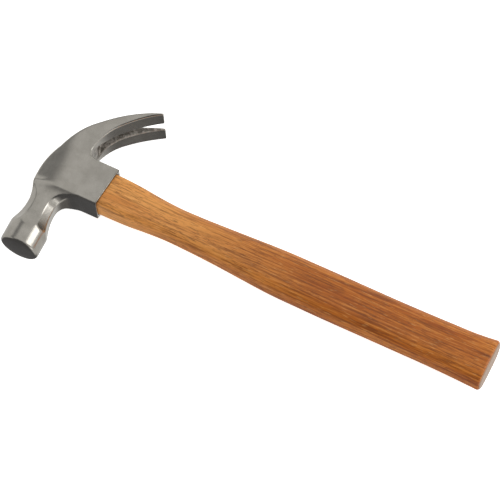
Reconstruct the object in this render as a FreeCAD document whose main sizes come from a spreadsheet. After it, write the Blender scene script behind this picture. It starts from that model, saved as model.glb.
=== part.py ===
import FreeCAD, Part
import math
import os

import Sketcher
from FreeCAD import Vector

# A claw hammer: a forged head, a wooden handle and the three wedges that hold them together.
# It lies on its side with its long direction along +X (head to butt), the claws towards +Y and
# the upper cheek facing +Z. The model's origin is at the middle of its bounding box's bottom.
# Every body is drawn in the head's own axes: X runs down the handle from the poll's axis, Y runs
# from the striking face to the claws and Z runs across the cheeks. One shared placement puts them
# into the model's frame.

SIZES = {
    # whole hammer
    "overall_length": 329,  # poll's side to the butt
    "crown_height": 12.3,  # poll's axis to the crown
    "face_reach": 60.1,  # handle's axis to the striking face
    "claw_reach": 63.7,  # handle's axis to the claw tips
    "claw_width": 38.8,  # across both tips
    "cheek_thickness": 25.2,
    # poll and octagonal neck
    "poll_diameter": 27.4,
    "face_diameter": 24.0,
    "face_crown": 0.8,  # how far the middle of the face stands proud
    "face_crown_radius": 99.6,
    "rim_depth": 3.2,
    "rim_radius": 4.2,
    "neck_end": 12.0,  # handle's axis to the end of the neck inside the cheeks
    "neck_waist": 27.2,  # handle's axis to the slimmest place of the neck
    "main_flat": 9.4,  # poll's axis to the four main flats at the waist
    "corner_flat": 9.9,  # poll's axis to the four corner flats at the waist
    "flat_radius": 40,  # the flats are hollow along the neck
    # cheeks, crown and collar
    "crown_radius": 47,
    "crown_setback": 6,  # handle's axis to the highest place of the crown, towards the face
    "collar_front": 13.0,
    "collar_rear": 16.2,
    "collar_front_drop": 34.3,  # poll's axis to the collar's end at its front
    "collar_rear_drop": 37.2,
    "bevel_start": 2.5,
    "bevel_angle": 12,
    "throat_round": 7,  # where the neck's underside meets the collar
    # claws, seen from the side
    "brow_reach": 16,
    "brow_radius": 56,
    "back_drop": 10.4,
    "back_reach": 40.6,
    "back_radius": 112,
    "tip_drop": 46.4,
    "tip_thickness": 1.3,
    "tip_angle": 26,
    "hollow_drop": 26.2,
    "hollow_reach": 45.6,
    "hollow_radius": 100,
    "root_drop": 14.4,
    "root_reach": 22,
    "root_radius": 40,
    "root_round": 6.2,
    "flare_start": 17,
    # nail slot, a tapered V with slanted walls
    "slot_angle": 39,
    "slot_hollow_start": 26,
    "slot_back_start": 34.8,
    "slot_end": 78,
    "slot_back_level": 27,
    "slot_back_root": 0.3,
    "slot_back_end": 3.9,
    "slot_hollow_level": 6,
    "slot_hollow_root": 7.0,
    "slot_hollow_end": 6.6,
    # wedges
    "tenon_recess": 0.6,
    "wood_wedge_top": 3.4,
    "wood_wedge_tip": 0.8,
    "steel_wedge_top": 2.2,
    "steel_wedge_tip": 0.4,
    "steel_wedge_depth": 14,
    "steel_wedge_width": 10.4,
    "steel_wedge_spacing": 11,
    # handle's end
    "butt_round": 2.2,
}

# Cross-sections: place along the handle from the poll's axis, width towards the claws, thickness
# across the cheeks, corner radius, and how far the middle lies towards the claws.
# The collar's slanted end gives the place of the mouth and shoulder, and the hammer's length gives
# the butt's.
SECTION_WORDS = ("place", "width", "depth", "corner", "shift")
EYE_SECTIONS = {
    "eye_crown": (-15.0, 22.2, 15.6, 3.8, 1.65),
    "eye_waist": (11.0, 20.2, 14.4, 3.6, 1.65),
    "eye_mouth": (None, 22.4, 18.4, 4.0, 1.65),
}
HANDLE_SECTIONS = {
    "shoulder": (None, 26.2, 22.0, 5.0, 1.65),
    "throat": (56.0, 26.2, 20.0, 6.8, 1.35),
    "waist": (86.0, 23.4, 18.5, 7.8, 0.95),
    "swell": (120.0, 25.8, 19.7, 8.8, 0.7),
    "palm": (160.0, 30.6, 21.4, 10.2, 0.15),
    "grip": (245.0, 31.4, 22.3, 10.6, 0.05),
    "heel": (290.0, 32.5, 23.0, 10.8, 0.4),
    "butt": (None, 34.8, 24.1, 11.0, 0.9),
}

doc = FreeCAD.newDocument("claw_hammer")
sheet = doc.addObject("Spreadsheet::Sheet", "dimensions")


class Size:
    """A number kept together with the spreadsheet formula that gives it."""

    def __init__(self, value, formula):
        self.value = value
        self.formula = formula

    def joined(self, other, sign, value):
        return Size(value, f"({self.formula} {sign} {as_size(other).formula})")

    def __add__(self, other):
        return self.joined(other, "+", self.value + as_size(other).value)

    def __sub__(self, other):
        return self.joined(other, "-", self.value - as_size(other).value)

    def __mul__(self, other):
        return self.joined(other, "*", self.value * as_size(other).value)

    def __truediv__(self, other):
        return self.joined(other, "/", self.value / as_size(other).value)

    def __neg__(self):
        return as_size(0) - self

    def sin(self):
        return Size(math.sin(math.radians(self.value)), f"sin({self.formula})")

    def cos(self):
        return Size(math.cos(math.radians(self.value)), f"cos({self.formula})")

    def root(self):
        return Size(math.sqrt(self.value), f"sqrt({self.formula})")


def as_size(number):
    """Takes a Size as it is and wraps a plain number."""
    if isinstance(number, Size):
        return number
    return Size(float(number), str(float(number)))


def fill_sheet():
    """Writes every driving dimension to the sheet and returns them by name."""
    cells = dict(SIZES)
    for section, numbers in {**EYE_SECTIONS, **HANDLE_SECTIONS}.items():
        for word, number in zip(SECTION_WORDS, numbers):
            if number is not None:
                cells[f"{section}_{word}"] = number
    for row, (alias, number) in enumerate(cells.items(), start=1):
        sheet.set(f"A{row}", alias)
        sheet.set(f"B{row}", str(number))
        sheet.setAlias(f"B{row}", alias)
    doc.recompute()
    return {alias: Size(float(number), f"dimensions.{alias}") for alias, number in cells.items()}


size = fill_sheet()
size["butt_place"] = size["overall_length"] - size["poll_diameter"] / 2
half_cheek = size["cheek_thickness"] / 2
half_claw = size["claw_width"] / 2


# ---- drawing helpers ----


def bind(thing, **formulas):
    """Binds properties such as Length to the sheet; a double underscore stands for a dot."""
    for name, number in formulas.items():
        thing.setExpression(name.replace("__", "."), number.formula)


def new_body(label):
    """A body in the head's own axes, placed into the model's frame."""
    body = doc.addObject("PartDesign::Body", label)
    body.Label = label
    bind(
        body,
        Placement__Base__x=(size["poll_diameter"] - size["overall_length"]) / 2,
        Placement__Base__y=(size["face_reach"] - size["claw_reach"]) / 2,
        Placement__Base__z=half_claw,
    )
    return body


def origin_feature(body, role):
    """One of the body's own origin planes or axes."""
    return next(feature for feature in body.Origin.OriginFeatures if feature.Role == role)


def new_sketch(body, role, name):
    """An empty sketch on one of the body's own origin planes."""
    sketch = body.newObject("Sketcher::SketchObject", name)
    sketch.AttachmentSupport = [(origin_feature(body, role), "")]
    sketch.MapMode = "FlatFace"
    return sketch


def turn_sketch(sketch, axis, angle):
    """Turns a sketch about one of its plane's own axes."""
    base = sketch.AttachmentOffset.Base
    sketch.AttachmentOffset = FreeCAD.Placement(base, FreeCAD.Rotation(axis, angle.value))
    bind(sketch, AttachmentOffset__Rotation__Angle=angle)


def hold_point(sketch, edge, end, point):
    """Fixes a point of the sketch at a pair of sizes measured from the origin."""
    for word, number in zip(("DistanceX", "DistanceY"), point):
        index = sketch.addConstraint(
            Sketcher.Constraint(word, -1, 1, edge, end, number.value)
        )
        sketch.setExpression(f"Constraints[{index}]", number.formula)


def arc_middle(start, finish, radius, left):
    """The point halfway along an arc that bulges to the left or right of its chord."""
    chord = finish - start
    sagitta = radius - math.sqrt(radius**2 - (chord.Length / 2) ** 2)
    side = Vector(-chord.y, chord.x, 0).normalize()
    if not left:
        side = -side
    return start + chord / 2 + side * sagitta


def draw_outline(sketch, points, arcs=None):
    """Draws a closed outline through points. arcs maps the number of an edge to its radius and
    to True where it bulges to the left of the way it is drawn."""
    arcs = arcs or {}
    corners = [tuple(as_size(number) for number in point) for point in points]
    flat = [Vector(x.value, y.value, 0) for x, y in corners]
    ends = []
    for number, start in enumerate(flat):
        finish = flat[(number + 1) % len(flat)]
        if number in arcs:
            radius, left = arcs[number]
            middle = arc_middle(start, finish, radius.value, left)
            edge = sketch.addGeometry(Part.Arc(start, middle, finish))
            ends.append((edge, 2, 1) if left else (edge, 1, 2))
        else:
            edge = sketch.addGeometry(Part.LineSegment(start, finish))
            ends.append((edge, 1, 2))
    for number, (edge, start, finish) in enumerate(ends):
        following, following_start, _ = ends[(number + 1) % len(ends)]
        sketch.addConstraint(
            Sketcher.Constraint("Coincident", edge, finish, following, following_start)
        )
        hold_point(sketch, edge, start, corners[number])
        if number in arcs:
            radius = arcs[number][0]
            index = sketch.addConstraint(Sketcher.Constraint("Radius", edge, radius.value))
            sketch.setExpression(f"Constraints[{index}]", radius.formula)


def draw_circle(sketch, middle, radius):
    centre = Vector(middle[0].value, middle[1].value, 0)
    edge = sketch.addGeometry(Part.Circle(centre, Vector(0, 0, 1), radius.value))
    hold_point(sketch, edge, 3, middle)
    index = sketch.addConstraint(Sketcher.Constraint("Radius", edge, radius.value))
    sketch.setExpression(f"Constraints[{index}]", radius.formula)


def draw_rectangle(sketch, middle, width, height):
    """A rectangle whose middle lies on the sketch's horizontal axis."""
    left = middle - width / 2
    right = middle + width / 2
    top = height / 2
    draw_outline(sketch, [(left, -top), (right, -top), (right, top), (left, top)])


def draw_rounded_rectangle(sketch, middle, width, height, corner):
    """The same with rounded corners."""
    left = middle - width / 2
    right = middle + width / 2
    top = height / 2
    points = [
        (left + corner, -top),
        (right - corner, -top),
        (right, corner - top),
        (right, top - corner),
        (right - corner, top),
        (left + corner, top),
        (left, top - corner),
        (left, corner - top),
    ]
    draw_outline(sketch, points, {edge: (corner, False) for edge in (1, 3, 5, 7)})


# ---- features ----


def extrude(body, kind, sketch, length=None, symmetric=True):
    """A Pad or Pocket of the sketch; a Pocket with no length goes through everything."""
    feature = body.newObject(f"PartDesign::{kind}", f"{sketch.Name}_{kind.lower()}")
    feature.Profile = sketch
    feature.SideType = "Symmetric" if symmetric else "One side"
    if length is None:
        feature.Type = "ThroughAll"
    else:
        bind(feature, Length=length)
    body.Tip = feature
    doc.recompute()
    return feature


def loft(body, kind, sketches, name, ruled=True):
    """An AdditiveLoft or SubtractiveLoft through the sketches."""
    feature = body.newObject(f"PartDesign::{kind}", name)
    feature.Profile = sketches[0]
    feature.Sections = sketches[1:]
    feature.Ruled = ruled
    body.Tip = feature
    doc.recompute()
    return feature


def mirror_across_cheeks(body, originals, name):
    """Repeats features on the other side of the hammer's middle plane."""
    feature = body.newObject("PartDesign::Mirrored", name)
    feature.Originals = originals
    feature.MirrorPlane = (origin_feature(body, "XY_Plane"), [""])
    body.Tip = feature
    doc.recompute()
    return feature


def repeat_around_poll(body, original, name):
    """Repeats a feature four times round the poll's axis."""
    feature = body.newObject("PartDesign::PolarPattern", name)
    feature.Originals = [original]
    feature.Axis = (origin_feature(body, "Y_Axis"), [""])
    feature.Angle = 360
    feature.Occurrences = 4
    body.Tip = feature
    doc.recompute()
    return feature


def fillet_edges(body, wanted, radius, name):
    """Rounds the edges of the body's tip that wanted() picks, and binds the radius."""
    base = body.Tip
    names = [
        f"Edge{number}"
        for number, edge in enumerate(base.Shape.Edges, start=1)
        if wanted(edge)
    ]
    feature = body.newObject("PartDesign::Fillet", name)
    feature.Base = (base, names)
    bind(feature, Radius=radius)
    body.Tip = feature
    doc.recompute()
    return feature


# ---- places that more than one piece shares ----

# The collar ends on a slanted line, so that it reaches further down on the claws' side.
collar_depth = size["collar_front"] + size["collar_rear"]
collar_slope = (size["collar_rear_drop"] - size["collar_front_drop"]) / collar_depth
mouth_angle = Size(
    math.degrees(math.atan(collar_slope.value)), f"(atan({collar_slope.formula}) / 1 deg)"
)
mouth_place = size["collar_front_drop"] + collar_slope * size["collar_front"]


def crown_point(across, radius):
    """A point of the crown's circle of the given radius, at a distance across its middle."""
    middle = size["crown_radius"] - size["crown_height"]
    drop = middle - (radius * radius - across * across).root()
    return drop, across - size["crown_setback"]


def section_sketch(body, section, place=None):
    """The rounded section of that name, square to the handle, at its own place or another."""
    sketch = new_sketch(body, "YZ_Plane", section)
    bind(sketch, AttachmentOffset__Base__z=place or size[f"{section}_place"])
    draw_rounded_rectangle(
        sketch, *(size[f"{section}_{word}"] for word in ("shift", "width", "depth", "corner"))
    )
    return sketch


def mouth_sketch(body, section):
    """The rounded section of that name, on the collar's slanted end."""
    sketch = section_sketch(body, section, mouth_place)
    turn_sketch(sketch, Vector(0, 1, 0), -mouth_angle)
    return sketch


def eye_sketches(body):
    """The three sections of the eye, which is slimmest near its middle."""
    return [
        section_sketch(body, "eye_crown"),
        section_sketch(body, "eye_waist"),
        mouth_sketch(body, "eye_mouth"),
    ]


def kerf_sketches(body):
    """The two ends of the saw kerf that the wooden wedge fills, as wide as the eye."""
    sketches = []
    for section, thickness in (("eye_crown", "wood_wedge_top"), ("eye_waist", "wood_wedge_tip")):
        sketch = new_sketch(body, "YZ_Plane", f"kerf_{section}")
        bind(sketch, AttachmentOffset__Base__z=size[f"{section}_place"])
        draw_rectangle(
            sketch, size[f"{section}_shift"], size[f"{section}_width"], size[thickness]
        )
        sketches.append(sketch)
    return sketches


def trim_at_crown(body):
    """Cuts the body off just below the crown, along the crown's own curve."""
    sketch = new_sketch(body, "XY_Plane", "crown_trim")
    radius = size["crown_radius"] - size["tenon_recess"]
    low = crown_point(-size["collar_front"], radius)
    high = crown_point(size["brow_reach"] + size["crown_setback"], radius)
    outside = size["eye_crown_place"] * 2
    points = [low, high, (outside, high[1]), (outside, low[1])]
    draw_outline(sketch, points, {0: (radius, True)})
    extrude(body, "Pocket", sketch)


def steel_wedge_sketch(body, side):
    """The side view of a steel wedge; side is -1 towards the face and 1 towards the claws."""
    sketch = new_sketch(body, "XY_Plane", "front_wedge_side" if side < 0 else "rear_wedge_side")
    middle = size["eye_crown_shift"] + size["steel_wedge_spacing"] * (side / 2)
    top = -size["crown_height"]
    tip = top + size["steel_wedge_depth"]
    half_top = size["steel_wedge_top"] / 2
    half_tip = size["steel_wedge_tip"] / 2
    draw_outline(
        sketch,
        [
            (top, middle - half_top),
            (tip, middle - half_tip),
            (tip, middle + half_tip),
            (top, middle + half_top),
        ],
    )
    return sketch


def cut_steel_wedge_slots(body):
    for side in (-1, 1):
        extrude(body, "Pocket", steel_wedge_sketch(body, side), size["steel_wedge_width"])


# ---- the head ----


def add_poll(body):
    """The round poll with its crowned face, turned about the poll's axis."""
    sketch = new_sketch(body, "XY_Plane", "poll_profile")
    rim = size["face_crown"] - size["face_reach"]
    radius = size["poll_diameter"] / 2
    points = [
        (0, -size["face_reach"]),
        (size["face_diameter"] / 2, rim),
        (radius, rim + size["rim_depth"]),
        (radius, -size["neck_end"]),
        (0, -size["neck_end"]),
    ]
    draw_outline(
        sketch, points, {0: (size["face_crown_radius"], False), 1: (size["rim_radius"], False)}
    )
    poll = body.newObject("PartDesign::Revolution", "poll")
    poll.Profile = sketch
    poll.ReferenceAxis = (sketch, ["V_Axis"])
    poll.Angle = 360
    body.Tip = poll
    doc.recompute()


def grind_neck_flats(body):
    """Eight hollow flats, which turn the poll's rear into the octagonal neck."""
    for name, angle in (("main_flat", 0), ("corner_flat", 45)):
        sketch = new_sketch(body, "XY_Plane", name)
        turn_sketch(sketch, Vector(0, 1, 0), as_size(angle))
        middle = (size[name] + size["flat_radius"], -size["neck_waist"])
        draw_circle(sketch, middle, size["flat_radius"])
        repeat_around_poll(body, extrude(body, "Pocket", sketch), f"{name}s")


def add_cheeks_and_claws(body):
    """The side view of crown, claws and collar, as wide as the claw tips."""
    sketch = new_sketch(body, "XY_Plane", "side_view")
    crown = size["crown_radius"]
    points = [
        crown_point(size["crown_setback"] - size["collar_front"], crown),
        crown_point(size["brow_reach"] + size["crown_setback"], crown),
        (size["back_drop"], size["back_reach"]),
        (size["tip_drop"], size["claw_reach"]),
        (
            size["tip_drop"] + size["tip_thickness"] * size["tip_angle"].sin(),
            size["claw_reach"] - size["tip_thickness"] * size["tip_angle"].cos(),
        ),
        (size["hollow_drop"], size["hollow_reach"]),
        (size["root_drop"], size["root_reach"]),
        (size["root_drop"] + size["root_round"], size["collar_rear"]),
        (size["collar_rear_drop"], size["collar_rear"]),
        (size["collar_front_drop"], -size["collar_front"]),
    ]
    arcs = {
        0: (crown, True),
        1: (size["brow_radius"], True),
        2: (size["back_radius"], True),
        4: (size["hollow_radius"], False),
        5: (size["root_radius"], False),
        6: (size["root_round"], False),
    }
    draw_outline(sketch, points, arcs)
    extrude(body, "Pad", sketch, size["claw_width"])


def trim_sides(body):
    """Cuts the cheeks flat, lets the claws flare to their tips and bevels the crown."""
    beyond = half_claw
    flare = new_sketch(body, "YZ_Plane", "flare")
    start = -size["collar_front"] - 1
    points = [
        (start, half_cheek),
        (size["flare_start"], half_cheek),
        (size["claw_reach"], half_claw),
        (size["claw_reach"], half_claw + beyond),
        (start, half_claw + beyond),
    ]
    draw_outline(flare, points)
    flare_cut = extrude(body, "Pocket", flare)

    bevel = new_sketch(body, "YZ_Plane", "crown_bevel")
    turn_sketch(bevel, Vector(1, 0, 0), -size["bevel_angle"])
    bind(
        bevel,
        AttachmentOffset__Base__y=half_cheek,
        AttachmentOffset__Base__z=size["bevel_start"],
    )
    start = -size["collar_front"]
    points = [
        (start, 0),
        (size["flare_start"], 0),
        (size["claw_reach"], half_claw - half_cheek),
        (size["claw_reach"], beyond),
        (start, beyond),
    ]
    draw_outline(bevel, points)
    bevel_length = (size["crown_height"] + size["bevel_start"]) * 2
    bevel_cut = extrude(body, "Pocket", bevel, bevel_length, symmetric=False)
    mirror_across_cheeks(body, [flare_cut, bevel_cut], "far_side")


def round_throat(body):
    """Rounds the inner corner between the neck's lower flats and the front of the collar."""
    front = -size["collar_front"].value
    under_poll = size["poll_diameter"].value / 2
    close = 0.1

    def in_throat(edge):
        box = edge.BoundBox
        on_front = front - close < box.YMin and box.YMax < front + close
        return on_front and 0 < box.XMin and box.XMax < under_poll and box.ZLength > 1

    fillet_edges(body, in_throat, size["throat_round"], "throat")


def cut_nail_slot(body):
    """The V between the claws. It is wider on the hollow side, where a nail's head sits."""
    sketches = []
    for level in ("back", "hollow"):
        sketch = new_sketch(body, "XZ_Plane", f"slot_{level}")
        turn_sketch(sketch, Vector(0, 1, 0), size["slot_angle"])
        away = size[f"slot_{level}_level"]
        bind(
            sketch,
            AttachmentOffset__Base__x=-(away * size["slot_angle"].sin()),
            AttachmentOffset__Base__z=-(away * size["slot_angle"].cos()),
        )
        start = size[f"slot_{level}_start"]
        root = size[f"slot_{level}_root"]
        end = size[f"slot_{level}_end"]
        points = [
            (start, -root),
            (size["slot_end"], -end),
            (size["slot_end"], end),
            (start, root),
        ]
        draw_outline(sketch, points)
        sketches.append(sketch)
    loft(body, "SubtractiveLoft", sketches, "nail_slot")


def build_head():
    body = new_body("head")
    add_poll(body)
    grind_neck_flats(body)
    add_cheeks_and_claws(body)
    trim_sides(body)
    round_throat(body)
    loft(body, "SubtractiveLoft", eye_sketches(body), "eye")
    cut_nail_slot(body)
    return body


# ---- the handle and the wedges ----


def build_handle():
    """Tenon in the eye, shoulder against the collar, slim waist, full grip and flared butt."""
    body = new_body("handle")
    loft(body, "AdditiveLoft", eye_sketches(body), "tenon")
    first, *others = HANDLE_SECTIONS
    sections = [mouth_sketch(body, first)] + [section_sketch(body, name) for name in others]
    loft(body, "AdditiveLoft", sections, "shank", ruled=False)
    end = size["butt_place"].value
    fillet_edges(
        body, lambda edge: edge.BoundBox.XMin > end - 0.01, size["butt_round"], "butt_rounding"
    )
    trim_at_crown(body)
    loft(body, "SubtractiveLoft", kerf_sketches(body), "kerf")
    cut_steel_wedge_slots(body)
    return body


def build_wooden_wedge():
    body = new_body("wooden_wedge")
    loft(body, "AdditiveLoft", kerf_sketches(body), "wedge")
    trim_at_crown(body)
    cut_steel_wedge_slots(body)
    return body


def build_steel_wedge(label, side):
    body = new_body(label)
    extrude(body, "Pad", steel_wedge_sketch(body, side), size["steel_wedge_width"])
    trim_at_crown(body)
    return body


# ---- checks and export ----


def check(bodies):
    """Stops if a feature failed or a piece isn't one valid solid."""
    for thing in doc.Objects:
        if "Invalid" in thing.State or "Error" in thing.State:
            raise RuntimeError(f"{thing.Name} failed: {thing.State}")
    for body in bodies:
        shape = body.Shape
        if shape.isNull() or not shape.isValid() or shape.Volume <= 0:
            raise RuntimeError(f"{body.Label} has no valid shape")
        box = shape.optimalBoundingBox()
        print(
            f"{body.Label}: {shape.Volume:.0f} mm3, {len(shape.Solids)} solid, "
            f"x {box.XMin:.2f} {box.XMax:.2f} y {box.YMin:.2f} {box.YMax:.2f} "
            f"z {box.ZMin:.2f} {box.ZMax:.2f}"
        )


def main():
    bodies = [
        build_head(),
        build_handle(),
        build_wooden_wedge(),
        build_steel_wedge("steel_wedge_front", -1),
        build_steel_wedge("steel_wedge_rear", 1),
    ]
    doc.recompute()
    check(bodies)
    os.makedirs("parts", exist_ok=True)
    for body in bodies:
        body.Shape.exportStep(f"parts/{body.Label}.step")


main()
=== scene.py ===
# A claw hammer lying on a pale floor. The forged head and the handle are remade here with soft
# edges, hollow-ground flats and rounded sections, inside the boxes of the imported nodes. The three
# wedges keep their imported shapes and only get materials.
# Shapes are drawn in the head's own axes, in millimetres: X runs down the handle from the poll's
# axis, Y runs from the striking face to the claws, and Z runs across the cheeks.

import math

import bpy
import numpy as np
from mathutils import Matrix, Vector


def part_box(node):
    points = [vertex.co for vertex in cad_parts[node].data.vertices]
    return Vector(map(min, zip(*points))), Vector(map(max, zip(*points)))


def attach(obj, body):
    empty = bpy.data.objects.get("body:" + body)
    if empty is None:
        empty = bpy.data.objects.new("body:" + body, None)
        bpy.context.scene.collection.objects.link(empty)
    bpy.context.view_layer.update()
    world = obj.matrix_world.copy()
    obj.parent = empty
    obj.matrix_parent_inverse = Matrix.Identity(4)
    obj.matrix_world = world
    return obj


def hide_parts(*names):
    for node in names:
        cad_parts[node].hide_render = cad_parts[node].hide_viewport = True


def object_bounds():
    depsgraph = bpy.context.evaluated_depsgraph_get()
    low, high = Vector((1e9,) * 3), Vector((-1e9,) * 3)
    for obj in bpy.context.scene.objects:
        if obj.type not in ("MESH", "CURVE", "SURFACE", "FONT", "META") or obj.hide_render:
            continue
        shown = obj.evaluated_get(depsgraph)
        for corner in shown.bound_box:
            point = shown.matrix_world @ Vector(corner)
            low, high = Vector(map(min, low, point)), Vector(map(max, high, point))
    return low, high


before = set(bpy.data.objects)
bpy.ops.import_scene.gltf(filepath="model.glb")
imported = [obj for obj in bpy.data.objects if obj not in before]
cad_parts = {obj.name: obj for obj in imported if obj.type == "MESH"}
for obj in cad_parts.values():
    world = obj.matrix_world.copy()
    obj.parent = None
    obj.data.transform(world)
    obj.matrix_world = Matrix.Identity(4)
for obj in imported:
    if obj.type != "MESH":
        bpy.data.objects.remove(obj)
cad_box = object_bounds()

MM = 0.001

# whole hammer
FACE_REACH = 60.1
CLAW_REACH = 63.7
HALF_CLAW = 19.7  # before the tips are rounded
HALF_CHEEK = 12.6

# poll and octagonal neck
POLL_RADIUS = 13.7
FACE_CROWN_RADIUS = 99.6
NECK_WAIST = -27.2
MAIN_FLAT = 9.4
CORNER_FLAT = 9.9
FLAT_RADIUS = 40.0
THROAT_RADIUS = 13.0

# crown, cheeks and collar
CROWN_HEIGHT = 12.3
CROWN_RADIUS = 47.0
CROWN_SETBACK = 6.0
COLLAR_FRONT = -13.0
COLLAR_REAR = 16.2
COLLAR_FRONT_DROP = 34.3
COLLAR_REAR_DROP = 37.2
BEVEL_START = 2.5
BEVEL_ANGLE = math.radians(12)
BEVEL_RUN_OUT = 0.3  # the smaller it is, the longer the bevel's end at the collar's front
FLARE_START = 17.0
FLARE_SOFTNESS = 5.0

# claws
BROW = (16.0, 56.0)  # reach, radius
BACK = (10.4, 40.6, 112.0)  # drop, reach, radius
TIP_DROP = 46.4
TIP_THICKNESS = 1.3
TIP_ANGLE = math.radians(26)
HOLLOW = (26.2, 45.6, 100.0)
ROOT = (14.4, 22.0, 40.0)
ROOT_ROUND = 6.2

# nail slot: SLOT_ANGLE is between its length and the handle's, and the gaps are half widths
SLOT_ANGLE = math.radians(39)
SLOT_ROOT = 26.0
SLOT_END = 78.0
SLOT_LEVELS = (6.0, 27.0)  # hollow side, back
SLOT_HOLLOW_GAP = 6.6
SLOT_ROOT_FLARE = 4.6  # added to the hollow side's gap at the root
SLOT_FLARE_DECAY = 9.0
SLOT_BACK_GAP = 0.3
SLOT_BACK_GROWTH = 3.6  # of the back's gap, from the root to the tips
SLOT_ROOT_SLANT = 0.35
SLOT_ROOT_ROUND = 2.0
FORGED_REACH = (1.2, 2.6)  # how far the skin fades out of the slot, and what its root adds
FORGED_ROOT_LENGTH = 10.0

# eye: place along X, half width and half depth; all centred on EYE_SHIFT
EYE_SHIFT = 1.65
EYE_SECTIONS = [(-15.0, 11.1, 7.8), (11.0, 10.1, 7.2), (36.0, 11.2, 9.2)]
EYE_CORNER = 3.8

# mouth of the collar, and the wood's shoulder in it
MOUTH_DEPTH = 2.4
MOUTH_GAP = 0.45
MOUTH_CORNER = 5.2
MOUTH_FILLET = 0.4
SHOULDER = (12.85, 10.75)  # half width and half depth
SHOULDER_GAP = 0.3  # to the mouth's bottom
# dirt and painted shade on the collar's end beside the wood
SHADE_AND_DIRT_DEPTH = 1.0  # from the collar's end
SHADE_AND_DIRT_FADE = (0.5, 0.4)  # along the handle, across the cheeks

# roundings where the head's surfaces meet
FLAT_EDGE = 0.5
BEVEL_FADE = 2.5
BEVEL_EDGE = 1.2
SIDE_EDGE = 1.1
TIP_EDGE = 1.2  # added to SIDE_EDGE at the claw tips
TIP_EDGE_LENGTH = 9.0
NECK_BLEND = 14.0  # neck into collar
FACE_RIM = 2.4
SLOT_EDGE = 0.7
EYE_EDGE = 0.5

# grid on which the head's surface is found: a box that holds the head, and the cells' size.
# It starts at -20.9 in Z because a start at -21.0 left four non-manifold edges.
GRID_LOW = (-18.0, -62.0, -20.9)
GRID_HIGH = (49.0, 66.0, 21.0)
GRID_STEP = 0.55

# tenon
TENON_SQUARENESS = 6.0
TENON_RECESS = 0.9
TENON_EDGE = 0.5
TENON_SPAN = (-8.0, 33.0)
END_GRAIN_SCALES = (0.25, 0.5, 0.75, 0.94, 1.0)

# shank: place, width, thickness, shift towards the claws, and squareness (2 is an ellipse)
SHANK_START = 38.5
HANDLE_SECTIONS = [
    (44.0, 26.3, 21.0, 1.6, 4.8),
    (56.0, 26.2, 20.0, 1.35, 3.8),
    (68.0, 24.8, 19.1, 1.15, 3.1),
    (84.0, 23.4, 18.5, 0.95, 2.7),
    (100.0, 24.0, 18.8, 0.8, 2.6),
    (120.0, 25.8, 19.7, 0.7, 2.6),
    (140.0, 28.2, 20.7, 0.45, 2.6),
    (160.0, 30.6, 21.4, 0.15, 2.6),
    (187.0, 31.4, 21.9, 0.0, 2.6),
    (250.0, 31.4, 22.3, 0.05, 2.6),
    (280.0, 32.0, 22.6, 0.33, 2.6),
    (300.0, 32.9, 23.3, 0.42, 2.7),
]
BUTT_SECTION = (34.8, 24.1, 0.9, 2.9)  # without a place, which is the CAD handle's end
BUTT_ROUND = 2.4
FIRST_RING = 42.0
RING_STEP = 1.6

head_low, head_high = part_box("head")
AXES_ORIGIN = Vector((
    head_low.x + POLL_RADIUS * MM,
    head_low.y + FACE_REACH * MM,
    (head_low.z + head_high.z) / 2,
))
BUTT_PLACE = (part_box("handle")[1].x - AXES_ORIGIN.x) / MM


# ---- distance fields: negative inside, in millimetres ----

WELL_INSIDE = -50.0


def smooth_max(a, b, round_size):
    """The larger of two fields, with their crossing rounded over about round_size."""
    overlap = np.maximum(round_size - np.abs(a - b), 0)
    return np.maximum(a, b) + overlap**2 / (4 * round_size)


def smooth_min(a, b, round_size):
    """The smaller of two fields, with their crossing rounded in the same way."""
    return -smooth_max(-a, -b, round_size)


def arc(start, finish, radius, left, steps=24):
    """Points from start up to, but not including, finish, on an arc bulging left or right."""
    start, finish = np.array(start, float), np.array(finish, float)
    chord = finish - start
    length = np.hypot(*chord)
    side = np.array((-chord[1], chord[0])) / length
    if not left:
        side = -side
    middle = (start + finish) / 2 - side * math.sqrt(radius**2 - (length / 2) ** 2)
    first = math.atan2(*(start - middle)[::-1])
    turn = 2 * math.asin(length / 2 / radius)
    angles = first + np.linspace(0, -turn if left else turn, steps, endpoint=False)
    return [tuple(middle + radius * np.array((math.cos(a), math.sin(a)))) for a in angles]


def outline_distance(points, x, y):
    """Signed distance from a closed outline of straight edges."""
    shape = np.broadcast(x, y).shape
    nearest = np.full(shape, np.inf)
    inside = np.zeros(shape, bool)
    for (ax, ay), (bx, by) in zip(points, points[1:] + points[:1]):
        ex, ey = bx - ax, by - ay
        along = ((x - ax) * ex + (y - ay) * ey) / (ex * ex + ey * ey)
        along = np.clip(along, 0, 1)
        nearest = np.minimum(nearest, (x - ax - along * ex) ** 2 + (y - ay - along * ey) ** 2)
        if ay != by:
            crosses = (ay > y) != (by > y)
            inside ^= crosses & (x < ax + (y - ay) * ex / ey)
    return np.where(inside, -1, 1) * np.sqrt(nearest)


def rounded_rectangle(y, z, half_width, half_depth, corner):
    """Distance from a rectangle with round corners, centred on the origin."""
    across = np.abs(y) - half_width + corner
    deep = np.abs(z) - half_depth + corner
    outside = np.hypot(np.maximum(across, 0), np.maximum(deep, 0))
    return outside + np.minimum(np.maximum(across, deep), 0) - corner


def crown_line(y):
    """X of the crown at a place, or at an array of places, across it."""
    return CROWN_RADIUS - CROWN_HEIGHT - np.sqrt(CROWN_RADIUS**2 - (y + CROWN_SETBACK) ** 2)


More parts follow.
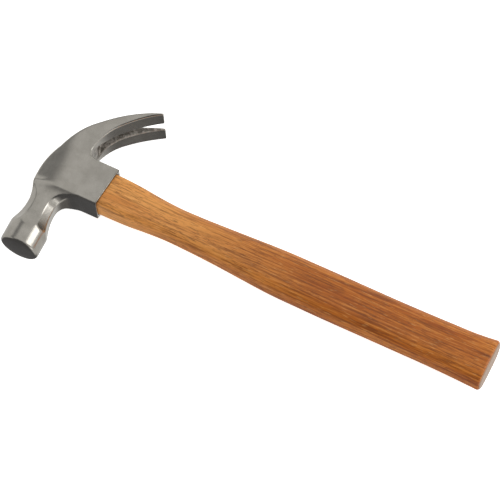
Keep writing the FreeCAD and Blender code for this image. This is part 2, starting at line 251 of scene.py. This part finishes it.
def side_outline():
    """The head seen from the cheek's side: poll, waisted neck, crown, claws and collar."""
    wheel = MAIN_FLAT + FLAT_RADIUS
    beyond = POLL_RADIUS + 1
    flat_end = NECK_WAIST - math.sqrt(FLAT_RADIUS**2 - (wheel - beyond) ** 2)
    throat_y = COLLAR_FRONT - THROAT_RADIUS
    inner = FLAT_RADIUS - THROAT_RADIUS
    throat_x = wheel - math.sqrt(inner**2 - (throat_y - NECK_WAIST) ** 2)
    touch = (
        wheel + (throat_x - wheel) * FLAT_RADIUS / inner,
        NECK_WAIST + (throat_y - NECK_WAIST) * FLAT_RADIUS / inner,
    )
    front = crown_line(COLLAR_FRONT)
    neck_top = NECK_WAIST + math.sqrt(FLAT_RADIUS**2 - (wheel + front) ** 2)
    tip = (TIP_DROP, CLAW_REACH)
    tip_under = (
        TIP_DROP + TIP_THICKNESS * math.sin(TIP_ANGLE),
        CLAW_REACH - TIP_THICKNESS * math.cos(TIP_ANGLE),
    )
    brow = (crown_line(BROW[0]), BROW[0])
    collar_root = (ROOT[0] + ROOT_ROUND, COLLAR_REAR)
    points = [(beyond, -FACE_REACH - 4)]
    points += arc((beyond, flat_end), touch, FLAT_RADIUS, left=True)
    points += arc(touch, (throat_x, COLLAR_FRONT), THROAT_RADIUS, left=True)
    points += [(throat_x, COLLAR_FRONT), (COLLAR_FRONT_DROP, COLLAR_FRONT)]
    points += [(COLLAR_REAR_DROP, COLLAR_REAR)]
    points += arc(collar_root, ROOT[:2], ROOT_ROUND, left=True)
    points += arc(ROOT[:2], HOLLOW[:2], ROOT[2], left=True)
    points += arc(HOLLOW[:2], tip_under, HOLLOW[2], left=True)
    points += [tip_under]
    points += arc(tip, BACK[:2], BACK[2], left=False)
    points += arc(BACK[:2], brow, BROW[1], left=False)
    points += arc(brow, (front, neck_top), CROWN_RADIUS, left=False)
    points += arc((front, neck_top), (-beyond, flat_end), FLAT_RADIUS, left=True)
    points += [(-beyond, flat_end), (-beyond, -FACE_REACH - 4)]
    return points


SIDE_OUTLINE = side_outline()


def half_width(y):
    """Half the head's width: flat cheeks, then claws that flare evenly to their tips."""
    slope = (HALF_CLAW - HALF_CHEEK) / (CLAW_REACH - FLARE_START)
    reach = FLARE_SOFTNESS * np.logaddexp(0, (y - FLARE_START) / FLARE_SOFTNESS)
    return HALF_CHEEK + slope * reach


def grinding_wheel(across, y, depth):
    """A hollow flat: across is measured square to it, and depth is the flat's at the waist."""
    return FLAT_RADIUS - np.hypot(across - depth - FLAT_RADIUS, y - NECK_WAIST)


def neck_field(x, y, z):
    """The poll's cylinder with its corner flats; the outline and head_field make the main ones."""
    field = np.hypot(x, z) - POLL_RADIUS
    for side in (-1, 1):
        across = (side * x + np.abs(z)) * math.sqrt(0.5)
        field = smooth_max(field, grinding_wheel(across, y, CORNER_FLAT), FLAT_EDGE)
    return field


def slot_axes(x, y):
    """Places along the nail slot, towards the tips, and across it, towards the back."""
    along = x * math.cos(SLOT_ANGLE) + y * math.sin(SLOT_ANGLE)
    level = y * math.cos(SLOT_ANGLE) - x * math.sin(SLOT_ANGLE)
    return along, level


def slot_field(x, y, z):
    """The V between the claws. It is wider on the hollow side, where it flares at its root."""
    along, level = slot_axes(x, y)
    low, high = SLOT_LEVELS
    to_tip = (along - SLOT_ROOT) / (SLOT_END - SLOT_ROOT)
    flare = np.exp(-SLOT_FLARE_DECAY * np.maximum(to_tip, 0))
    on_hollow = SLOT_HOLLOW_GAP + SLOT_ROOT_FLARE * flare
    on_back = SLOT_BACK_GAP + SLOT_BACK_GROWTH * to_tip
    half_gap = on_hollow + (on_back - on_hollow) * (level - low) / (high - low)
    root = SLOT_ROOT + SLOT_ROOT_SLANT * (level - low) - along
    field = smooth_max(np.abs(z) - half_gap, root, SLOT_ROOT_ROUND)
    return np.maximum(field, low - level)


def eye_size(x):
    """Half width and half depth of the waisted eye at a place along X."""
    places, widths, depths = zip(*EYE_SECTIONS)
    return np.interp(x, places, widths), np.interp(x, places, depths)


def eye_field(x, y, z):
    """The waisted eye that the tenon fills."""
    width, depth = eye_size(x)
    return rounded_rectangle(y - EYE_SHIFT, z, width, depth, EYE_CORNER)


def collar_end(y):
    """X of the collar's slanted end at a place across it."""
    slope = (COLLAR_REAR_DROP - COLLAR_FRONT_DROP) / (COLLAR_REAR - COLLAR_FRONT)
    return COLLAR_FRONT_DROP + slope * (y - COLLAR_FRONT)


def mouth_field(x, y, z):
    """The shallow mouth in the collar's end that takes the handle's shoulder."""
    half_width, half_depth = SHOULDER[0] + MOUTH_GAP, SHOULDER[1] + MOUTH_GAP
    walls = rounded_rectangle(y - EYE_SHIFT, z, half_width, half_depth, MOUTH_CORNER)
    bottom = collar_end(y) - MOUTH_DEPTH - x
    return smooth_max(walls, bottom, MOUTH_FILLET)


def bevel_field(x, y, deep):
    """Bevels that narrow the head towards its crown and run out at the collar's front."""
    inwards = deep - half_width(y) - (x - BEVEL_START) * math.tan(BEVEL_ANGLE)
    run_out = (y - COLLAR_FRONT) * BEVEL_RUN_OUT
    return smooth_min(inwards * math.cos(BEVEL_ANGLE), run_out, BEVEL_FADE)


def face_field(x, y, z):
    """The crowned striking face, left out behind the poll's axis."""
    to_middle = np.sqrt(x**2 + (y + FACE_REACH - FACE_CROWN_RADIUS) ** 2 + z**2)
    return np.where(y < 0, to_middle - FACE_CROWN_RADIUS, WELL_INSIDE)


def head_field(x, y, z):
    """The whole forging, built up from its outsides and then cut by slot, eye and mouth."""
    deep = np.abs(z)
    side = outline_distance(SIDE_OUTLINE, x, y)
    cheek = np.minimum(deep - half_width(y), y - NECK_WAIST)
    field = smooth_max(cheek, grinding_wheel(deep, y, MAIN_FLAT), FLAT_EDGE)
    field = smooth_max(field, bevel_field(x, y, deep), BEVEL_EDGE)
    at_tip = np.clip((y - CLAW_REACH + TIP_EDGE_LENGTH) / TIP_EDGE_LENGTH, 0, 1)
    field = smooth_max(field, side, SIDE_EDGE + TIP_EDGE * at_tip**2)
    neck = smooth_min(neck_field(x, y, z), COLLAR_FRONT - y, NECK_BLEND)
    field = smooth_max(field, neck, FLAT_EDGE)
    field = smooth_max(field, face_field(x, y, z), FACE_RIM)
    field = smooth_max(field, -slot_field(x, y, z), SLOT_EDGE)
    field = smooth_max(field, -eye_field(x, y, z), EYE_EDGE)
    return smooth_max(field, -mouth_field(x, y, z), EYE_EDGE)


# ---- meshes ----


def surface_net(field, low, step):
    """Vertices and quads of the zero level of a field sampled on a grid."""
    inside = field < 0
    corner_slices = [slice(None, -1), slice(1, None)]
    cells = tuple(n - 1 for n in field.shape)
    count = np.zeros(cells, np.int32)
    total = np.zeros(cells + (3,))
    for axis in range(3):
        others = [a for a in range(3) if a != axis]
        for first in (0, 1):
            for second in (0, 1):
                near = [None] * 3
                near[axis] = corner_slices[0]
                near[others[0]] = corner_slices[first]
                near[others[1]] = corner_slices[second]
                far = list(near)
                far[axis] = corner_slices[1]
                a, b = field[tuple(near)], field[tuple(far)]
                crosses = inside[tuple(near)] != inside[tuple(far)]
                count += crosses
                place = np.where(crosses, a / np.where(crosses, a - b, 1), 0)
                total[..., axis] += place
                total[..., others[0]] += crosses * first
                total[..., others[1]] += crosses * second
    used = count > 0
    number = np.full(cells, -1)
    number[used] = np.arange(used.sum())
    corners = np.argwhere(used)
    points = (corners + total[used] / count[used][:, None]) * step + low
    quads = []
    for axis in range(3):
        others = [a for a in range(3) if a != axis]
        near = [slice(1, -1)] * 3
        far = [slice(1, -1)] * 3
        near[axis] = slice(0, -1)
        far[axis] = slice(1, None)
        starts = inside[tuple(near)]
        crosses = starts != inside[tuple(far)]
        edges = np.argwhere(crosses)
        offset = np.ones(3, int)
        offset[axis] = 0
        edges += offset
        ring = []
        for first, second in ((-1, -1), (0, -1), (0, 0), (-1, 0)):
            cell = edges.copy()
            cell[:, others[0]] += first
            cell[:, others[1]] += second
            ring.append(number[tuple(cell.T)])
        ring = np.stack(ring, 1)
        flip = starts[crosses] == (axis == 1)
        ring[flip] = ring[flip, ::-1]
        quads.append(ring)
    return points, np.concatenate(quads)


def gradient(field, points, reach=0.05):
    """Direction in which the field grows fastest at each point."""
    columns = []
    for axis in range(3):
        shift = np.zeros(3)
        shift[axis] = reach
        columns.append(field(*(points + shift).T) - field(*(points - shift).T))
    return np.stack(columns, 1) / (2 * reach)


def settle(field, points, rounds=3):
    """Moves points onto the field's zero level."""
    for _ in range(rounds):
        slope = gradient(field, points)
        steepness = np.maximum((slope**2).sum(1), 0.25)
        points = points - slope * (field(*points.T) / steepness)[:, None]
    return points


def make_mesh(name, points, faces):
    """A smooth-shaded object in the model's frame from points in the head's own axes."""
    mesh = bpy.data.meshes.new(name)
    mesh.from_pydata((points * MM + np.array(AXES_ORIGIN)).tolist(), [], faces)
    mesh.shade_smooth()
    mesh.update()
    piece = bpy.data.objects.new(name, mesh)
    bpy.context.scene.collection.objects.link(piece)
    return piece


def paint(piece, name, values):
    """Stores one number for each vertex, for the piece's material."""
    attribute = piece.data.attributes.new(name, "FLOAT", "POINT")
    attribute.data.foreach_set("value", values.astype(np.float32))


def forged_amount(points):
    """1 on the slot's rough walls and root, fading out within a few millimetres."""
    x, y, z = points.T
    along, _ = slot_axes(x, y)
    at_root = np.clip((SLOT_ROOT + FORGED_ROOT_LENGTH - along) / FORGED_ROOT_LENGTH, 0, 1)
    reach = FORGED_REACH[0] + FORGED_REACH[1] * at_root
    return np.clip(1 - slot_field(x, y, z) / reach, 0, 1)


def mouth_shade_and_dirt(points):
    """1 on the ends of the cheeks against the wood, darkened there for dirt and painted shade."""
    x, y, z = points.T
    near_end = np.where(y < COLLAR_REAR + 1, x - collar_end(y) + SHADE_AND_DIRT_DEPTH, 0)
    into_end = near_end / SHADE_AND_DIRT_FADE[0]
    on_cheek = (np.abs(z) - SHOULDER[1]) / SHADE_AND_DIRT_FADE[1]
    return np.clip(into_end, 0, 1) * np.clip(on_cheek, 0, 1)


def curvature(field, points, reach=0.7):
    """How sharply the surface bends, positive on ridges and negative in corners, per mm."""
    total = -6 * field(*points.T)
    for axis in range(3):
        shift = np.zeros(3)
        shift[axis] = reach
        total += field(*(points + shift).T) + field(*(points - shift).T)
    return total / reach**2


def make_head():
    """The head as one closed mesh, with the amounts that its material reads."""
    axes = [np.arange(low, high, GRID_STEP) for low, high in zip(GRID_LOW, GRID_HIGH)]
    grid = np.meshgrid(*axes, indexing="ij", sparse=True)
    points, quads = surface_net(head_field(*grid), np.array(GRID_LOW), GRID_STEP)
    points = settle(head_field, points)
    head = make_mesh("forged_head", points, quads.tolist())
    paint(head, "forged", forged_amount(points))
    # Curvature: the material lightens ridges as worn metal and painted highlight, and darkens corners
    # as dirt and painted shade.
    paint(head, "edge", curvature(head_field, points))
    # the cheeks' ends beside the wood, darkened as dirt and painted shade
    paint(head, "mouth", mouth_shade_and_dirt(points))
    return head


def section_ring(half_width, half_depth, squareness, shift, count=96):
    """Points round a superellipse, as Y and Z."""
    angles = np.linspace(0, 2 * np.pi, count, endpoint=False)
    cosine, sine = np.cos(angles), np.sin(angles)
    reach = (np.abs(cosine) ** squareness + np.abs(sine) ** squareness) ** (-1 / squareness)
    return np.stack((half_width * reach * cosine + shift, half_depth * reach * sine), 1)


def smooth_through(places, values, x):
    """A smooth curve through values at places, with each slope taken from its neighbours."""
    places, values = np.array(places), np.array(values)
    slopes = np.gradient(values, places, axis=0)
    left = np.clip(np.searchsorted(places, x) - 1, 0, len(places) - 2)
    span = places[left + 1] - places[left]
    t = (x - places[left]) / span
    return (
        (2 * t**3 - 3 * t**2 + 1) * values[left]
        + (t**3 - 2 * t**2 + t) * span * slopes[left]
        + (3 * t**2 - 2 * t**3) * values[left + 1]
        + (t**3 - t**2) * span * slopes[left + 1]
    )


def loft(name, rings):
    """A closed mesh through rings of equal count, with a fan over each end."""
    count = len(rings[0])
    points = list(np.concatenate(rings))
    faces = []
    for ring in range(len(rings) - 1):
        for k in range(count):
            a, b = ring * count + k, ring * count + (k + 1) % count
            faces.append((a, b, b + count, a + count))
    points.append(rings[0].mean(0))
    points.append(rings[-1].mean(0))
    last = (len(rings) - 1) * count
    for k in range(count):
        following = (k + 1) % count
        faces.append((following, k, len(points) - 2))
        faces.append((last + k, last + following, len(points) - 1))
    return make_mesh(name, np.array(points), faces)


def ring_at(x, ring):
    """A ring of Y and Z placed at one X."""
    return np.column_stack((np.full(len(ring), x), ring))


def tenon_rings():
    """The end grain at the crown, then the waisted tenon down to the collar's mouth."""
    rings = []
    top = section_ring(*EYE_SECTIONS[0][1:], TENON_SQUARENESS, 0)
    for scale in END_GRAIN_SCALES:
        y, z = (top * scale).T
        edge = TENON_EDGE if scale == 1.0 else 0.0
        x = crown_line(y + EYE_SHIFT) + TENON_RECESS + edge
        rings.append(np.stack((x, y + EYE_SHIFT, z), 1))
    for x in np.linspace(*TENON_SPAN, 12):
        rings.append(ring_at(x, section_ring(*eye_size(x), TENON_SQUARENESS, EYE_SHIFT)))
    return rings


def shank_rings():
    """From the shoulder inside the mouth to the middle of the butt."""
    rings = []
    shoulder = section_ring(*SHOULDER, TENON_SQUARENESS, EYE_SHIFT)
    for depth in (MOUTH_DEPTH - SHOULDER_GAP, 0.0):
        x = collar_end(shoulder[:, 0]) - depth
        rings.append(np.column_stack((x, shoulder)))
    start = (SHANK_START, 2 * SHOULDER[0], 2 * SHOULDER[1], EYE_SHIFT, TENON_SQUARENESS)
    sections = np.array([start, *HANDLE_SECTIONS, (BUTT_PLACE, *BUTT_SECTION)])
    last = BUTT_PLACE - BUTT_ROUND
    for x in np.append(np.arange(FIRST_RING, last, RING_STEP), last):
        width, depth, shift, square = smooth_through(sections[:, 0], sections[:, 1:], x)
        rings.append(ring_at(x, section_ring(width / 2, depth / 2, square, shift)))
    for turn in np.linspace(0, math.pi / 2, 7)[1:]:
        inset = BUTT_ROUND * (1 - math.cos(turn))
        x = BUTT_PLACE - BUTT_ROUND * (1 - math.sin(turn))
        rings.append(ring_at(x, section_ring(width / 2 - inset, depth / 2 - inset, square, shift)))
    rim = rings[-1]
    middle = rim.mean(0)
    for scale in (0.9, 0.6, 0.3):
        rings.append(middle + (rim - middle) * scale)
    return rings


def make_handle():
    """Tenon and shank as one closed mesh."""
    return loft("wooden_handle", tenon_rings() + shank_rings())


# ---- materials ----


class Nodes:
    """A short way to add and join shader nodes, in a new material or in the world's tree."""

    def __init__(self, name):
        self.material = bpy.data.materials.new(name)
        self.material.use_nodes = True
        self.tree = self.material.node_tree
        self.surface = self.tree.nodes["Principled BSDF"]

    @classmethod
    def of_tree(cls, tree):
        nodes = cls.__new__(cls)
        nodes.tree = tree
        return nodes

    def add(self, kind, inputs=None, **settings):
        node = self.tree.nodes.new(f"ShaderNode{kind}")
        for name, value in settings.items():
            setattr(node, name, value)
        for name, value in (inputs or {}).items():
            self.feed(node, name, value)
        return node

    def feed(self, node, name, value):
        if isinstance(value, bpy.types.NodeSocket):
            self.tree.links.new(value, node.inputs[name])
        else:
            node.inputs[name].default_value = value

    def place(self, scale=(1000, 1000, 1000), turn=(0, 0, 0)):
        """Object coordinates times scale; 1000 gives millimetres."""
        source = self.add("TexCoord").outputs["Object"]
        mapping = self.add("Mapping", {"Vector": source, "Scale": scale, "Rotation": turn})
        return mapping.outputs["Vector"]

    def noise(self, vector, scale=1.0, detail=3.0, roughness=0.5, distortion=0.0):
        inputs = {
            "Vector": vector,
            "Scale": scale,
            "Detail": detail,
            "Roughness": roughness,
            "Distortion": distortion,
        }
        return self.add("TexNoise", inputs).outputs["Fac"]

    def ramp(self, value, low, high, to_low=0.0, to_high=1.0):
        inputs = {
            "Value": value,
            "From Min": low,
            "From Max": high,
            "To Min": to_low,
            "To Max": to_high,
        }
        return self.add("MapRange", inputs, interpolation_type="SMOOTHSTEP").outputs["Result"]

    def math(self, operation, a, b=0.0):
        return self.add("Math", {0: a, 1: b}, operation=operation).outputs["Value"]

    def attribute(self, name):
        return self.add("Attribute", attribute_name=name).outputs["Fac"]

    def mix(self, fac, a, b, blend="MIX"):
        node = self.add("Mix", data_type="RGBA", blend_type=blend)
        self.feed(node, 0, fac)
        self.feed(node, 6, a)
        self.feed(node, 7, b)
        return node.outputs[2]

    def bump(self, height, strength, distance):
        inputs = {"Height": height, "Strength": strength, "Distance": distance}
        return self.add("Bump", inputs).outputs["Normal"]


def forged_steel():
    """Satin ground steel with edges lightened as worn metal and painted highlight, corners and the
    cheeks' ends darkened as dirt and painted shade, left as forged in the nail slot.
    """
    nodes = Nodes("forged_steel")
    place = nodes.place()
    cloud = nodes.noise(place, 0.09, 5.0, 0.6)
    grit = nodes.noise(nodes.place((2600, 300, 2600)), 1.0, 4.0, 0.65)
    speckle = nodes.noise(place, 1.3, 4.0, 0.7)
    tint = nodes.mix(nodes.ramp(cloud, 0.3, 0.7), (0.37, 0.352, 0.318, 1), (0.45, 0.43, 0.392, 1))
    tint = nodes.mix(nodes.ramp(speckle, 0.56, 0.72, 0.0, 0.35), tint, (0.22, 0.205, 0.18, 1))

    scale = nodes.noise(place, 0.35, 5.0, 0.65)
    patchy = nodes.ramp(scale, 0.3, 0.55, 0.45, 1.0)
    forged = nodes.math("MULTIPLY", nodes.attribute("forged"), patchy)
    skin = nodes.mix(nodes.ramp(scale, 0.42, 0.6), (0.09, 0.078, 0.065, 1), (0.44, 0.41, 0.37, 1))
    tint = nodes.mix(forged, tint, skin)

    bend = nodes.attribute("edge")
    # Worn metal and painted highlight: paler steel on ridges and edges.
    worn_and_highlight = nodes.math("MULTIPLY", nodes.ramp(bend, 0.5, 1.5), nodes.ramp(speckle, 0.3, 0.62, 0.3, 1.0))
    tint = nodes.mix(nodes.math("MULTIPLY", worn_and_highlight, 0.45), tint, (0.72, 0.70, 0.66, 1))
    # Painted shade and dirt: darker steel in corners and creases, and on the cheeks' ends beside the
    # wood.
    painted_shade_and_grime = nodes.ramp(bend, -0.9, -0.15, 0.65, 0.0)
    painted_shade_and_grime = nodes.math("MAXIMUM", painted_shade_and_grime, nodes.math("MULTIPLY", nodes.attribute("mouth"), 0.85))
    tint = nodes.mix(painted_shade_and_grime, tint, (0.10, 0.085, 0.07, 1))

    nodes.feed(nodes.surface, "Base Color", tint)
    nodes.surface.inputs["Metallic"].default_value = 1.0
    gloss = nodes.ramp(grit, 0.3, 0.7, 0.17, 0.25)
    gloss = nodes.math("ADD", gloss, nodes.math("MULTIPLY", forged, 0.3))
    nodes.feed(nodes.surface, "Roughness", gloss)
    rough = nodes.math("MULTIPLY", scale, nodes.math("MULTIPLY", forged, 4.0))
    height = nodes.math("ADD", nodes.math("MULTIPLY", grit, 0.1), rough)
    nodes.feed(nodes.surface, "Normal", nodes.bump(height, 0.6, 0.0001))
    return nodes.material


def end_grain(nodes, side_tone, light, dark):
    """Mixes in the rings and dark pores of cut ends wherever the surface faces along X."""
    place = nodes.place()
    wave = {"Vector": place, "Scale": 0.35, "Distortion": 3.0, "Detail": 2.0}
    rings = nodes.add("TexWave", wave, bands_direction="Z").outputs["Fac"]
    pores = nodes.noise(place, 1.6, 3.0, 0.6)
    cut = nodes.mix(nodes.ramp(rings, 0.2, 0.9), light, dark)
    cut = nodes.mix(nodes.ramp(pores, 0.55, 0.68, 0.0, 0.6), cut, (0.16, 0.07, 0.03, 1))
    normal = nodes.add("NewGeometry").outputs["Normal"]
    facing = nodes.add("SeparateXYZ", {"Vector": normal}).outputs["X"]
    return nodes.mix(nodes.ramp(nodes.math("ABSOLUTE", facing), 0.62, 0.85), side_tone, cut)


def lacquered_wood():
    """Red-brown hardwood with dark streaks and pores and light flecks, paler near the head."""
    nodes = Nodes("lacquered_wood")
    split = nodes.add("SeparateXYZ", {"Vector": nodes.place()}).outputs
    bands = nodes.noise(nodes.place((9, 95, 95)), 1.0, 3.0, 0.55)
    streaks = nodes.noise(nodes.place((28, 800, 800), (0, 0.01, 0.015)), 1.0, 4.0, 0.6)
    pores = nodes.noise(nodes.place((160, 2200, 2200), (0, 0.01, 0.02)), 1.0, 2.0, 0.5)
    clusters = nodes.noise(nodes.place((26, 130, 130)), 1.0, 3.0)
    flecks = nodes.noise(nodes.place((130, 1000, 1000), (0.1, 0, 0)), 1.0, 2.0)
    banded = nodes.ramp(bands, 0.3, 0.7)
    near_head = nodes.mix(banded, (0.83, 0.385, 0.105, 1), (0.68, 0.27, 0.06, 1))
    near_butt = nodes.mix(banded, (0.53, 0.165, 0.02, 1), (0.36, 0.085, 0.008, 1))
    to_butt = nodes.ramp(split["X"], -130, 60)
    tone = nodes.mix(to_butt, near_head, near_butt)
    deeper = nodes.ramp(to_butt, 0.0, 1.0, 0.42, 0.68)
    streaked = nodes.math("MULTIPLY", nodes.ramp(streaks, 0.47, 0.66), deeper)
    tone = nodes.mix(streaked, tone, (0.14, 0.036, 0.007, 1))
    tone = nodes.mix(nodes.ramp(streaks, 0.28, 0.48, 0.3, 0.0), tone, (0.88, 0.42, 0.11, 1))
    crowded = nodes.ramp(clusters, 0.3, 0.6, 0.25, 1.0)
    dark = nodes.math("MULTIPLY", nodes.ramp(pores, 0.53, 0.62), crowded)
    tone = nodes.mix(nodes.math("MULTIPLY", dark, 0.55), tone, (0.14, 0.04, 0.012, 1))
    tone = nodes.mix(nodes.ramp(flecks, 0.6, 0.72, 0.0, 0.25), tone, (0.88, 0.50, 0.18, 1))
    tone = end_grain(nodes, tone, (0.36, 0.245, 0.17, 1), (0.27, 0.165, 0.10, 1))
    nodes.feed(nodes.surface, "Base Color", tone)
    nodes.surface.inputs["Roughness"].default_value = 0.45
    nodes.surface.inputs["Specular IOR Level"].default_value = 0.2
    nodes.surface.inputs["Coat Weight"].default_value = 0.3
    nodes.surface.inputs["Coat Roughness"].default_value = 0.2
    nodes.feed(nodes.surface, "Normal", nodes.bump(dark, 0.35, -0.0002))
    return nodes.material


def wedge_wood():
    """Pale bare hardwood with fine grain, and rings on its cut ends."""
    nodes = Nodes("wedge_wood")
    grain = nodes.noise(nodes.place((90, 1400, 1400)), 1.0, 3.0, 0.6)
    tone = nodes.mix(nodes.ramp(grain, 0.35, 0.65), (0.62, 0.43, 0.26, 1), (0.40, 0.24, 0.12, 1))
    tone = end_grain(nodes, tone, (0.60, 0.43, 0.28, 1), (0.42, 0.27, 0.15, 1))
    nodes.feed(nodes.surface, "Base Color", tone)
    nodes.surface.inputs["Roughness"].default_value = 0.7
    nodes.feed(nodes.surface, "Normal", nodes.bump(grain, 0.3, 0.0002))
    return nodes.material


def wedge_steel():
    """Dull sheared steel with a little rust."""
    nodes = Nodes("wedge_steel")
    place = nodes.place()
    scratches = nodes.noise(nodes.place((3000, 500, 3000)), 1.0, 4.0, 0.6)
    rust = nodes.noise(place, 0.9, 4.0, 0.65)
    tone = nodes.mix(nodes.ramp(scratches, 0.35, 0.65), (0.30, 0.29, 0.28, 1), (0.44, 0.43, 0.41, 1))
    tone = nodes.mix(nodes.ramp(rust, 0.58, 0.72, 0.0, 0.7), tone, (0.17, 0.08, 0.04, 1))
    nodes.feed(nodes.surface, "Base Color", tone)
    nodes.surface.inputs["Metallic"].default_value = 0.9
    nodes.feed(nodes.surface, "Roughness", nodes.ramp(rust, 0.4, 0.7, 0.38, 0.65))
    nodes.feed(nodes.surface, "Normal", nodes.bump(scratches, 0.3, 0.0001))
    return nodes.material


def set_material(piece, material):
    """Gives a piece this material and no other."""
    piece.data.materials.clear()
    piece.data.materials.append(material)


# ---- stage ----

CAMERA_AZIMUTH = math.radians(30.235)
CAMERA_ELEVATION = math.radians(66.617)
CAMERA_ROLL = math.radians(-4.106)
CAMERA_DISTANCE = 2.0205
CAMERA_LENS = 220.57
CAMERA_AIM = AXES_ORIGIN + Vector((138.47, 6.70, 0.0)) * MM
FLOOR_REACH = 6.0
WALL_AZIMUTH = math.radians(-5)
WALL_LEAN = 0.4


def direction(azimuth, elevation):
    """Unit vector towards an azimuth from -Y round by +X, and an elevation."""
    return Vector((
        math.sin(azimuth) * math.cos(elevation),
        -math.cos(azimuth) * math.cos(elevation),
        math.sin(elevation),
    ))


def make_camera():
    """The photo's view, from above the striking face's side."""
    data = bpy.data.cameras.new("camera")
    data.lens = CAMERA_LENS
    data.sensor_width = 36.0
    data.clip_end = 10.0
    camera = bpy.data.objects.new("camera", data)
    back = direction(CAMERA_AZIMUTH, CAMERA_ELEVATION)
    turn = back.to_track_quat("Z", "Y") @ Matrix.Rotation(CAMERA_ROLL, 3, "Z").to_quaternion()
    camera.rotation_mode = "QUATERNION"
    camera.rotation_quaternion = turn
    camera.location = CAMERA_AIM + back * CAMERA_DISTANCE
    bpy.context.scene.collection.objects.link(camera)
    bpy.context.scene.camera = camera


def make_floor(low):
    """A square floor, nearly white, at the hammer's lowest point."""
    turns = ((-1, -1), (1, -1), (1, 1), (-1, 1))
    corners = [(x * FLOOR_REACH, y * FLOOR_REACH, 0) for x, y in turns]
    mesh = bpy.data.meshes.new("floor")
    mesh.from_pydata(corners, [], [(0, 1, 2, 3)])
    floor = bpy.data.objects.new("floor", mesh)
    floor.location.z = low.z
    nodes = Nodes("pale_floor")
    nodes.surface.inputs["Base Color"].default_value = (0.94, 0.94, 0.94, 1)
    nodes.surface.inputs["Roughness"].default_value = 0.9
    nodes.surface.inputs["Specular IOR Level"].default_value = 0.1
    nodes.surface.inputs["Emission Color"].default_value = (1, 1, 1, 1)
    nodes.surface.inputs["Emission Strength"].default_value = 0.8
    set_material(floor, nodes.material)
    bpy.context.scene.collection.objects.link(floor)
    floor.visible_glossy = False


def make_soft_box(name, towards, distance, width, height, radiance, centre):
    """A soft box that shines on the hammer from the given direction."""
    data = bpy.data.lights.new(name, "AREA")
    data.shape = "RECTANGLE"
    data.size = width
    data.size_y = height
    data.energy = radiance * math.pi * width * height
    light = bpy.data.objects.new(name, data)
    aim = Vector(towards).normalized()
    light.location = centre + aim * distance
    light.rotation_mode = "QUATERNION"
    light.rotation_quaternion = aim.to_track_quat("Z", "Y")
    bpy.context.scene.collection.objects.link(light)
    return light


def make_world():
    """A light room, dark towards the striking face, in a gap beyond the crown and underneath."""
    world = bpy.data.worlds.new("studio")
    world.use_nodes = True
    bpy.context.scene.world = world
    nodes = Nodes.of_tree(world.node_tree)
    towards = nodes.add("TexCoord").outputs["Generated"]
    x, y, z = nodes.add("SeparateXYZ", {"Vector": towards}).outputs
    across = nodes.math("SQRT", nodes.math("SUBTRACT", 1.0, nodes.math("MULTIPLY", z, z)))
    along_x = nodes.math("MULTIPLY", x, math.sin(WALL_AZIMUTH))
    along_y = nodes.math("MULTIPLY", y, math.cos(WALL_AZIMUTH))
    facing = nodes.math("DIVIDE", nodes.math("SUBTRACT", along_x, along_y), across)
    lean = nodes.math("MULTIPLY", WALL_LEAN, nodes.math("MULTIPLY", x, z))
    facing = nodes.math("ADD", facing, lean)
    under_top = nodes.ramp(z, 0.93, 0.99, 1.0, 0.0)
    wall = nodes.math("MULTIPLY", nodes.ramp(facing, 0.55, 0.8), under_top)
    gap = nodes.math("MULTIPLY", nodes.ramp(z, 0.5, 0.64), nodes.ramp(z, 0.74, 0.88, 1.0, 0.0))
    gap = nodes.math("MULTIPLY", gap, nodes.ramp(x, -0.5, -0.25, 1.0, 0.0))
    light = nodes.mix(gap, (0.78, 0.775, 0.76, 1), (0.30, 0.30, 0.30, 1))
    downwards = nodes.ramp(z, -0.92, -0.7, 1.0, 0.0)
    below = nodes.math("MULTIPLY", downwards, nodes.ramp(y, -0.1, 0.25, 1.0, 0.0))
    light = nodes.mix(below, light, (0.16, 0.155, 0.15, 1))
    tone = nodes.mix(wall, light, (0.13, 0.13, 0.135, 1))
    background = world.node_tree.nodes["Background"]
    nodes.feed(background, "Color", tone)
    background.inputs["Strength"].default_value = 1.0


def make_lights(centre):
    """A high key and a low light beyond the butt, and a fill from overhead without highlights."""
    key_from = direction(math.radians(113), math.radians(37))
    make_soft_box(
        "key", key_from, distance=1.6, width=0.9, height=1.05, radiance=2.3, centre=centre
    )
    low_from = direction(math.radians(62), math.radians(4))
    make_soft_box(
        "low_right", low_from, distance=1.6, width=0.7, height=0.5, radiance=1.1, centre=centre
    )
    fill_from = (0.1, -0.2, 1.0)
    fill = make_soft_box(
        "fill", fill_from, distance=2.0, width=2.0, height=2.0, radiance=0.7, centre=centre
    )
    fill.visible_glossy = False


def main():
    """The pieces that ride on the frame's body and replace its nodes, then the stage."""
    head = make_head()
    handle = make_handle()
    set_material(head, forged_steel())
    set_material(handle, lacquered_wood())
    for piece, node, slot in (
        (head, "head", "forged_steel"),
        (handle, "handle", "handle_wood"),
    ):
        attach(piece, "root")
        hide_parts(node)
    set_material(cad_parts["wooden_wedge"], wedge_wood())
    steel = wedge_steel()
    for node in ("steel_wedge_front", "steel_wedge_rear"):
        set_material(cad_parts[node], steel)
    make_camera()
    make_floor(cad_box[0])
    make_world()
    make_lights(centre=(cad_box[0] + cad_box[1]) / 2)
    bpy.context.scene.view_settings.view_transform = "Standard"


main()
